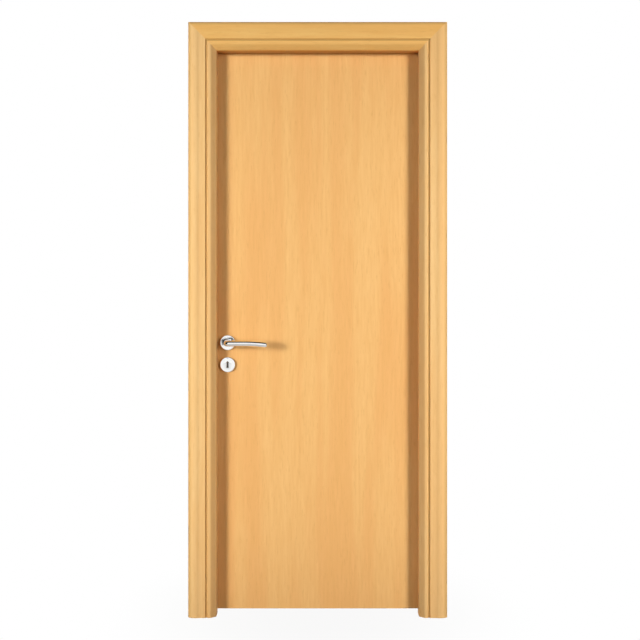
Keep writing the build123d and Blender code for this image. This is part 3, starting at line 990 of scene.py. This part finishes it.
@dataclass(frozen=True)
class ScrewSet:
    """Raised countersunk screws with a cross recess."""

    radius: float = 4.0 * MM
    crown_radius: float = 3.0 * MM
    height: float = 0.7 * MM
    seat: float = 0.3 * MM
    recess_depth: float = 0.5 * MM
    recess_reach: float = 2.1 * MM
    recess_half: float = 0.45 * MM
    sides: int = 32

    @staticmethod
    def place(seat: str, facing: int, y: float, z: float) -> Matrix:
        """Places a screw on a node's open face.

        Args:
            seat: The node's name.
            facing: The way along X that the face looks.
            y: The screw's place along Y.
            z: The screw's height.

        Returns:
            The turn and place that bring a head from the XY plane, looking up.
        """
        low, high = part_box(seat)
        face = high.x if facing > 0 else low.x
        return Matrix.Translation((face, y, z)) @ Matrix.Rotation(facing * QUARTER, 4, "Y")

    def heads(self, places: Iterable[Matrix]) -> bmesh.types.BMesh:
        """Makes the heads.

        Args:
            places: The turn and place of each head.

        Returns:
            The heads as one shape.
        """
        single = bmesh.new()
        bmesh.ops.create_cone(
            single,
            cap_ends=True,
            segments=self.sides,
            radius1=self.radius,
            radius2=self.crown_radius,
            depth=self.height + self.seat,
            matrix=Matrix.Translation((0.0, 0.0, (self.height - self.seat) / 2)),
        )
        for axis in (RIGHT, BACK):
            for reach in (-self.recess_reach, -self.recess_half, self.recess_half, self.recess_reach):
                cut_through(single, axis * reach, axis)
        single.normal_update()
        cross = [face for face in single.faces if self._in_recess(face)]
        sunk = bmesh.ops.extrude_face_region(single, geom=cross)["geom"]
        bmesh.ops.translate(single, verts=verts_of(sunk), vec=UP * -self.recess_depth)
        bmesh.ops.recalc_face_normals(single, faces=single.faces)
        pattern = bpy.data.meshes.new("screw_head")
        single.to_mesh(pattern)
        single.free()
        heads = bmesh.new()
        for place in places:
            known = set(heads.verts)
            heads.from_mesh(pattern)
            added = [vert for vert in heads.verts if vert not in known]
            bmesh.ops.transform(heads, matrix=place, verts=added)
        bpy.data.meshes.remove(pattern)
        return heads

    def _in_recess(self, face: bmesh.types.BMFace) -> bool:
        """Tells whether a face of the crown lies in the cross.

        Args:
            face: The face.

        Returns:
            Whether it does.
        """
        middle = face.calc_center_median()
        low, high = sorted((abs(middle.x), abs(middle.y)))
        return face.normal.z > FACING and low < self.recess_half and high < self.recess_reach


@dataclass(frozen=True)
class Flap:
    """One flap of a hinge: its word in the names, its body, its seat and the way that it looks."""

    word: str
    body: Body
    seat: str
    facing: int


@dataclass
class Hinges:
    """Three butt hinges with their pins and screws."""

    palette: Palette
    arris: float = 0.3 * MM
    screws: ScrewSet = ScrewSet()
    screw_rise: float = 36 * MM
    screw_stagger: float = 5 * MM
    flaps: tuple[Flap, Flap] = (
        Flap("frame", Body.FRAME, "hinge_jamb", -1),
        Flap("door", Body.LEAF, "hinge_stile", 1),
    )

    def build(self) -> None:
        """Makes the hinges and their screws."""
        steel = [self.palette.brushed]
        for place in ("upper", "middle", "lower"):
            for flap in self.flaps:
                node = f"{place}_hinge_{flap.word}_leaf"
                tag = Tag(flap.body, Slot.PLATE)
                ease_node(node, steel, tag, self.arris)
                heads = self.screws.heads(self._screw_places(node, flap))
                hand_over(heads, f"{place}_hinge_{flap.word}_screws", steel, tag)
            ease_node(f"{place}_hinge_pin", steel, Tag(Body.FRAME, Slot.PLATE), self.arris)

    def _screw_places(self, node: str, flap: Flap) -> list[Matrix]:
        """Places the screws of one flap.

        Args:
            node: The flap's node.
            flap: Which flap it is.

        Returns:
            The places of its three screws, the middle one set aside from the others.
        """
        low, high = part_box(node)
        _, jamb_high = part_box("hinge_jamb")
        middle_y = (low.y + jamb_high.y) / 2
        middle_z = (low.z + high.z) / 2
        return [
            self.screws.place(
                flap.seat,
                flap.facing,
                middle_y + aside * self.screw_stagger,
                middle_z + rise * self.screw_rise,
            )
            for rise, aside in ((-1, 1), (0, -1), (1, 1))
        ]


@dataclass
class Lock:
    """The mortise lock's case, plates and bolts, with the plates' screws."""

    palette: Palette
    arris: float = 0.25 * MM
    bolt_arris: float = 0.9 * MM
    arris_steps: int = 3
    screws: ScrewSet = ScrewSet()
    screw_inset: float = 14 * MM

    def build(self) -> None:
        """Makes the lock and the screws of its faceplate and strike."""
        ease_node("lock_case", [self.palette.zinc], Tag(Body.LEAF, Slot.LOCK), self.arris)
        steel = [self.palette.brushed]
        on_leaf = Tag(Body.LEAF, Slot.PLATE)
        ease_node("lock_faceplate", steel, on_leaf, self.arris, self.arris_steps)
        for node in ("latch_bolt", "dead_bolt"):
            ease_node(node, steel, on_leaf, self.bolt_arris, self.arris_steps)
        plates = {"lock_faceplate": (on_leaf, -1), "strike_plate": (Tag(Body.FRAME, Slot.PLATE), 1)}
        for node, (tag, facing) in plates.items():
            low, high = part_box(node)
            heights = (low.z + self.screw_inset, high.z - self.screw_inset)
            places = [self.screws.place(node, facing, lock_middle(), height) for height in heights]
            hand_over(self.screws.heads(places), f"{node}_screws", steel, tag)


class Bar:
    """A round bar grown ring by ring along its path."""

    def __init__(self, shape: bmesh.types.BMesh, radius: float, place: Matrix, sides: int) -> None:
        """Starts the bar with a closed end.

        Args:
            shape: The shape that takes the bar.
            radius: The first ring's radius.
            place: Turn and place of the first ring, from the XY plane.
            sides: Number of sides.
        """
        self.shape = shape
        bmesh.ops.create_circle(shape, cap_ends=True, segments=sides, radius=radius, matrix=place)
        self.ring = shape.edges[:]

    def grow(self, step: Vector, factor: float = 1.0) -> None:
        """Extends the bar.

        Args:
            step: The way from the last ring to the next.
            factor: How much wider the next ring is.
        """
        made = bmesh.ops.extrude_edge_only(self.shape, edges=self.ring)["geom"]
        verts = verts_of(made)
        bmesh.ops.translate(self.shape, verts=verts, vec=step)
        middle = sum((vert.co for vert in verts), Vector()) / len(verts)
        about = Matrix.Translation(-middle)
        bmesh.ops.scale(self.shape, vec=(factor, factor, factor), space=about, verts=verts)
        self.ring = [edge for edge in edges_of(made) if all(vert in verts for vert in edge.verts)]

    def bend(self, centre: Vector, axis: Vector, angle: float, steps: int) -> None:
        """Bends the bar round a centre.

        Args:
            centre: A point on the bend's axis.
            axis: The bend's axis.
            angle: How far it turns, in radians.
            steps: Number of rings.
        """
        verts = list({vert for edge in self.ring for vert in edge.verts})
        geom = verts + self.ring
        made = bmesh.ops.spin(self.shape, geom=geom, cent=centre, axis=axis, angle=angle, steps=steps)
        self.ring = edges_of(made["geom_last"])

    def end(self, reach: float, segments: int) -> None:
        """Closes the bar and rounds its end.

        Args:
            reach: How far the rounding reaches.
            segments: Steps across it.
        """
        bmesh.ops.contextual_create(self.shape, geom=self.ring)
        round_off(self.shape, self.ring, reach, segments)


@dataclass
class Handles:
    """Levers, roses and key roses on both faces of the leaf."""

    palette: Palette
    neck_radius: float = 10.5 * MM
    neck_base: float = 16 * MM
    shoulder: float = 0.8 * MM
    grip_radius: float = 10 * MM
    skin_clearance: float = 1 * MM
    grip_offset: float = 60 * MM
    elbow_radius: float = 16 * MM
    elbow_steps: int = 24
    grip_reach: float = 145 * MM
    droop_reach: float = 80 * MM
    droop_radius: float = 570 * MM
    droop_steps: int = 16
    tip_length: float = 10.5 * MM
    tip_round: float = 9.3 * MM
    tip_steps: int = 10
    bar_sides: int = 64
    rose_radius: float = 27 * MM
    rose_thickness: float = 8 * MM
    rose_round: float = 2.5 * MM
    rose_land: float = 0.6 * MM
    rim_steps: int = 12
    bore_radius: float = 10.8 * MM
    bore_ease: float = 0.4 * MM
    bore_steps: int = 4
    rose_sides: int = 128
    eye_radius: float = 4 * MM
    eye_rise: float = 8 * MM
    eye_steps: int = 28
    slot_top: float = 6 * MM
    slot_bottom: float = 7.6 * MM
    eye_to_foot: float = 19 * MM
    keyhole_ease: float = 0.5 * MM
    keyhole_steps: int = 3
    spindle_arris: float = 0.5 * MM
    axis: Vector = field(init=False)
    face: float = field(init=False)
    key_height: float = field(init=False)

    def __post_init__(self) -> None:
        """Reads the lever's axis, the leaf's front face and the key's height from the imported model."""
        turn = next(joint for joint in frame["joints"] if joint["name"] == "lever_turn")
        self.axis = Vector(turn["pos_m"])
        self.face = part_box("front_skin")[0].y
        key_low, key_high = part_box("front_key_rose")
        self.key_height = (key_low.z + key_high.z) / 2

    def build(self) -> None:
        """Makes the handles of both faces."""
        makers = {"lever": self._lever, "rose": self._rose, "key_rose": self._key_rose}
        for kind, maker in makers.items():
            body = Body.LEVERS if kind == "lever" else Body.LEAF
            for side in Side:
                shape = maker()
                if side is Side.BACK:
                    self._to_back(shape)
                bmesh.ops.recalc_face_normals(shape, faces=shape.faces)
                node = f"{side.value}_{kind}"
                tag = Tag(body, Slot.HANDLE)
                hand_over(shape, f"{node}_turned", [self.palette.polished], tag, node)
        steel = Tag(Body.LEVERS, Slot.PLATE)
        ease_node("spindle", [self.palette.zinc], steel, self.spindle_arris)

    @staticmethod
    def _to_back(shape: bmesh.types.BMesh) -> None:
        """Mirrors a shape from the leaf's front face to its back.

        Args:
            shape: The shape, in place.
        """
        flip = Matrix.Diagonal((1.0, -1.0, 1.0, 1.0))
        flip.translation.y = 2 * lock_middle()
        bmesh.ops.transform(shape, matrix=flip, verts=shape.verts)

    def _on_face(self, height: float) -> Matrix:
        """Gives the place on the leaf's front face at a height, with local Z out of the leaf."""
        return Matrix.Translation((self.axis.x, self.face, height)) @ Matrix.Rotation(QUARTER, 4, "X")

    def _lever(self) -> bmesh.types.BMesh:
        """Makes the front lever: neck, elbow, straight grip and drooping end.

        Returns:
            The lever, in place.
        """
        shape = bmesh.new()
        out = -BACK
        place = self._on_face(self.axis.z) @ Matrix.Translation(UP * self.skin_clearance)
        bar = Bar(shape, self.neck_radius, place, self.bar_sides)
        bar.grow(out * self.neck_base)
        bar.grow(out * self.shoulder, self.grip_radius / self.neck_radius)
        elbow_start = self.grip_offset - self.elbow_radius
        bar.grow(out * (elbow_start - self.skin_clearance - self.neck_base - self.shoulder))
        root = Vector((self.axis.x, self.face, self.axis.z))
        elbow = root + out * elbow_start + RIGHT * self.elbow_radius
        bar.bend(elbow, UP, QUARTER, self.elbow_steps)
        bar.grow(RIGHT * (self.grip_reach - self.droop_reach - self.elbow_radius))
        droop = root + out * self.grip_offset - UP * self.droop_radius
        droop += RIGHT * (self.grip_reach - self.droop_reach)
        turn = math.asin((self.droop_reach - self.tip_length) / self.droop_radius)
        bar.bend(droop, BACK, turn, self.droop_steps)
        bar.grow((RIGHT * math.cos(turn) - UP * math.sin(turn)) * self.tip_length)
        bar.end(self.tip_round, self.tip_steps)
        return shape

    def _rose(self) -> bmesh.types.BMesh:
        """Makes the front lever rose: a turned disc with a bore for the neck.

        Returns:
            The rose, in place.
        """
        shape = bmesh.new()
        top = self.rose_thickness
        mouth = self.bore_radius + self.bore_ease
        rim = self.rose_radius - self.rose_round
        outline = Outline(shape, (self.bore_radius, 0.0))
        outline.line((self.bore_radius, top - self.bore_ease))
        outline.arc((mouth, top - self.bore_ease), -90, self.bore_steps)
        outline.line((mouth + self.rose_land, top), (rim - self.rose_land, top))
        self._rim(outline)
        outline.close()
        self._turn(shape)
        bmesh.ops.transform(shape, matrix=self._on_face(self.axis.z), verts=shape.verts)
        return shape

    def _rim(self, outline: Outline) -> None:
        """Draws a rose's rounded rim, from its face down to the leaf.

        Args:
            outline: The rose's section.
        """
        rim = self.rose_radius - self.rose_round
        outline.line((rim, self.rose_thickness))
        outline.arc((rim, self.rose_thickness - self.rose_round), -90, self.rim_steps)
        outline.line((self.rose_radius, 0.0))

    def _turn(self, shape: bmesh.types.BMesh) -> None:
        """Turns a section drawn in the XY plane round its Y axis, then stands that axis along Z.

        Args:
            shape: The section, which becomes the turned disc.
        """
        centre = Vector()
        bmesh.ops.spin(
            shape,
            geom=shape.verts[:] + shape.edges[:],
            cent=centre,
            axis=BACK,
            angle=4 * QUARTER,
            steps=self.rose_sides,
            use_merge=True,
        )
        upright = Matrix.Rotation(QUARTER, 3, "X")
        bmesh.ops.rotate(shape, cent=centre, matrix=upright, verts=shape.verts)

    def _key_rose(self) -> bmesh.types.BMesh:
        """Makes the front key rose: a turned disc round the keyhole.

        Returns:
            The key rose, in place.
        """
        shape = bmesh.new()
        top = self.rose_thickness
        outline = Outline(shape, (self.rose_radius - self.rose_round - self.rose_land, top))
        self._rim(outline)
        self._turn(shape)
        rims = [edge for edge in shape.edges if edge.is_boundary]
        upper_rim = [edge for edge in rims if edge.verts[0].co.z > top / 2]
        lower_rim = [edge for edge in rims if edge.verts[0].co.z < top / 2]
        mouth = self._keyhole(shape, top)
        sunk = bmesh.ops.extrude_edge_only(shape, edges=mouth)["geom"]
        floor = verts_of(sunk)
        bmesh.ops.translate(shape, verts=floor, vec=UP * -top)
        foot = [edge for edge in shape.edges if all(vert in floor for vert in edge.verts)]
        for rim, hole in ((upper_rim, mouth), (lower_rim, foot)):
            bmesh.ops.triangle_fill(shape, use_beauty=True, edges=rim + hole)
        round_off(shape, mouth, self.keyhole_ease, self.keyhole_steps)
        bmesh.ops.transform(shape, matrix=self._on_face(self.key_height), verts=shape.verts)
        return shape

    def _keyhole(self, shape: bmesh.types.BMesh, height: float) -> list[bmesh.types.BMEdge]:
        """Draws the keyhole: a round eye over a slot that flares downwards.

        Args:
            shape: The shape that takes the outline.
            height: How far over the XY plane it lies.

        Returns:
            The outline's edges.
        """
        known = set(shape.edges)
        half_top = self.slot_top / 2
        half_bottom = self.slot_bottom / 2
        foot = self.eye_rise - self.eye_to_foot
        slip = math.degrees(math.asin(half_top / self.eye_radius))
        mouth = self.eye_rise - math.sqrt(self.eye_radius**2 - half_top**2)
        outline = Outline(shape, (half_bottom, foot))
        outline.line((half_top, mouth))
        outline.arc((0.0, self.eye_rise), 360 - 2 * slip, self.eye_steps)
        outline.line((-half_bottom, foot))
        outline.close()
        drawn = [edge for edge in shape.edges if edge not in known]
        verts = list({vert for edge in drawn for vert in edge.verts})
        bmesh.ops.translate(shape, verts=verts, vec=UP * height)
        return drawn


@dataclass(frozen=True)
class Softbox:
    """A tall soft lamp that keeps its light to its own side of the door, turned in degrees."""

    aside: float
    yaw: float
    length: float
    power: float
    away: float = 2.1
    height: float = 1.47
    tilt: float = 6.4
    spread: float = 28.0
    width: float = 1.0

    def stand(self, name: str, middle: float, side: int, depth: int) -> None:
        """Stands the lamp at one corner of the studio.

        Args:
            name: The lamp's name.
            middle: Where the door's middle lies along X.
            side: -1 for the lock side and 1 for the hinge side.
            depth: -1 in front of the door and 1 behind it.
        """
        light = bpy.data.lights.new(name, "AREA")
        light.shape = "RECTANGLE"
        light.size = self.width
        light.size_y = self.length
        light.spread = math.radians(self.spread)
        light.energy = self.power
        lamp = bpy.data.objects.new(name, light)
        lamp.location = (middle + side * self.aside, depth * self.away, self.height)
        yaw = math.radians(self.yaw)
        fall = math.tan(math.radians(self.tilt))
        aim = Vector((-side * math.sin(yaw), -depth * math.cos(yaw), -fall))
        lamp.rotation_euler = aim.to_track_quat("-Z", "Y").to_euler()
        lamp.visible_glossy = False
        bpy.context.scene.collection.objects.link(lamp)


@dataclass
class Studio:
    """Floor, dark cloths, world, lamps and the camera at the photograph's viewpoint."""

    floor_size: float = 60.0
    floor_colour: Colour = (0.4, 0.4, 0.4, 1.0)

    # How white the floor shows at the door, straight and in gloss, and how far off it is all white.
    floor_veil: float = 0.93
    veil_span: Span = (0.1, 0.8)
    floor_gloss: float = 0.5
    gloss_span: Span = (2.0, 8.0)
    white: float = 1.0
    ambient: float = 0.02

    dark: Colour = (0.02, 0.02, 0.02, 1.0)
    ceiling_size: float = 6.5
    ceiling_height: float = 3.9
    drape_size: float = 4.0
    drape_aside: float = 2.9
    card_size: Point = (0.1, 0.042)
    card_place: Point = (-1.026, 0.782)
    card_turn: float = 10.0

    wash: Softbox = Softbox(aside=2.42, yaw=41.7, length=2.92, power=8.35)
    core: Softbox = Softbox(aside=2.9, yaw=48.2, length=1.7, power=1.6)

    # The picture's side, the focal length and the place of the door's middle are in pixels.
    picture: float = 640.0
    focal: float = 827.0
    door_across: float = 317.7
    door_down: float = 319.6
    sensor: float = 36.0
    camera_away: float = 2.875
    camera_height: float = 1.14
    middle: Vector = field(init=False)
    front: float = field(init=False)

    def __post_init__(self) -> None:
        """Reads the door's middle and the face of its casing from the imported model."""
        low, high = cad_box
        self.middle = (low + high) / 2
        self.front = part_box("front_casing_head")[0].y

    def build(self) -> None:
        """Sets up the studio."""
        self._floor()
        self._dark_sheets()
        self._world()
        for side in (-1, 1):
            for depth in (-1, 1):
                self.wash.stand(f"wash_{side}_{depth}", self.middle.x, side, depth)
                self.core.stand(f"core_{side}_{depth}", self.middle.x, side, depth)
        self._camera()
        bpy.context.scene.view_settings.view_transform = "Standard"

    @staticmethod
    def _rays(tree: ShaderTree, *names: str) -> Wire:
        """Gives 1 for the named kinds of ray and 0 for others."""
        first, *others = (tree.add("ShaderNodeLightPath", output=name) for name in names)
        return sum(others, first).clamped()

    def _floor(self) -> None:
        """Lays a pale floor that shows white and keeps the door's shadow."""
        made = bpy.data.materials.new("pale_floor")
        tree = ShaderTree(made)
        centre = {"Vector": tree.place(), "Location": (-self.middle.x, -self.middle.y, 0.0)}
        around = tree.add("ShaderNodeMapping", {}, centre)
        away = tree.add("ShaderNodeVectorMath", {"operation": "LENGTH"}, {0: around}, "Value")
        near = self.floor_veil + (1 - self.floor_veil) * away.between(*self.veil_span)
        far = self.floor_gloss + (1 - self.floor_gloss) * away.between(*self.gloss_span)
        straight = self._rays(tree, "Is Camera Ray")
        mirrored = self._rays(tree, "Is Glossy Ray", "Is Transmission Ray")
        share = (straight * near + mirrored * far).clamped()
        pale = tree.add("ShaderNodeBsdfDiffuse", {}, {"Color": self.floor_colour})
        bright = tree.add("ShaderNodeEmission", {}, {"Strength": self.white})
        shown = tree.add("ShaderNodeMixShader", {}, {0: share, 1: pale, 2: bright})
        tree.add("ShaderNodeOutputMaterial", {}, {"Surface": shown})
        self._sheet("floor", self.floor_size, Matrix(), made)

    def _dark_sheets(self) -> None:
        """Hangs a ceiling, two drapes and a card, dark, that only polished metal shows."""
        made = bpy.data.materials.new("dark_cloth")
        tree = ShaderTree(made)
        dark = tree.add("ShaderNodeBsdfDiffuse", {}, {"Color": self.dark})
        tree.add("ShaderNodeOutputMaterial", {}, {"Surface": dark})
        upright = Matrix.Rotation(QUARTER, 4, "X")
        side_on = Matrix.Rotation(QUARTER, 4, "Y")
        half = self.drape_size / 2
        over = Matrix.Translation((self.middle.x, self.middle.y, self.ceiling_height))
        left = Matrix.Translation((self.middle.x - self.drape_aside, self.middle.y, half))
        right = Matrix.Translation((self.middle.x + self.drape_aside, self.middle.y, half))
        across, height = self.card_place
        beside = Matrix.Translation((across, self.front - self.camera_away, height))
        lean = Matrix.Rotation(math.radians(-self.card_turn), 4, "Y")
        wide, tall = self.card_size
        shrink = Matrix.Diagonal((wide, tall, 1.0, 1.0))
        sheets = {
            "ceiling": (self.ceiling_size, over),
            "left_drape": (self.drape_size, left @ side_on),
            "right_drape": (self.drape_size, right @ side_on),
            "card": (1.0, beside @ lean @ upright @ shrink),
        }
        for name, (size, place) in sheets.items():
            sheet = self._sheet(name, size, place, made)
            sheet.visible_camera = False
            sheet.visible_diffuse = False
            sheet.visible_shadow = False

    @staticmethod
    def _sheet(
        name: str, size: float, place: Matrix, material: bpy.types.Material
    ) -> bpy.types.Object:
        """Lays a square sheet that belongs to the studio.

        Args:
            name: The sheet's name.
            size: Length of its sides.
            place: Where its middle lies.
            material: What it is made of.

        Returns:
            The sheet.
        """
        shape = bmesh.new()
        bmesh.ops.create_grid(shape, x_segments=2, y_segments=2, size=size / 2, matrix=place)
        mesh = bpy.data.meshes.new(name)
        shape.to_mesh(mesh)
        shape.free()
        mesh.materials.append(material)
        sheet = bpy.data.objects.new(name, mesh)
        bpy.context.scene.collection.objects.link(sheet)
        return sheet

    def _world(self) -> None:
        """Surrounds the door with a white that lights it softly."""
        world = bpy.data.worlds.new("studio")
        bpy.context.scene.world = world
        tree = ShaderTree(world)
        seen = self._rays(tree, "Is Camera Ray", "Is Glossy Ray", "Is Transmission Ray")
        strength = self.ambient + (self.white - self.ambient) * seen
        white = {"Color": (1.0, 1.0, 1.0, 1.0), "Strength": strength}
        around = tree.add("ShaderNodeBackground", {}, white)
        tree.add("ShaderNodeOutputWorld", {}, {"Surface": around})

    def _camera(self) -> None:
        """Stands the camera level and square to the door, as the photograph was taken."""
        data = bpy.data.cameras.new("camera")
        data.sensor_width = self.sensor
        data.lens = self.focal * self.sensor / self.picture
        drop = (self.camera_height - self.middle.z) * self.focal / self.camera_away
        data.shift_x = (self.picture / 2 - self.door_across) / self.picture
        data.shift_y = (self.door_down - self.picture / 2 - drop) / self.picture
        camera = bpy.data.objects.new("camera", data)
        camera.location = (self.middle.x, self.front - self.camera_away, self.camera_height)
        camera.rotation_euler = (QUARTER, 0.0, 0.0)
        bpy.context.scene.collection.objects.link(camera)
        bpy.context.scene.camera = camera


def main() -> None:
    """Builds the door's looks and the studio round it."""
    logging.basicConfig(level=logging.INFO, format="%(name)s: %(message)s")
    palette = Palette.mixed()
    for assembly in (
        Frame(palette),
        Casings(palette),
        Leaf(palette),
        Hinges(palette),
        Lock(palette),
        Handles(palette),
        Studio(),
    ):
        assembly.build()


if __name__ == "__main__":
    main()
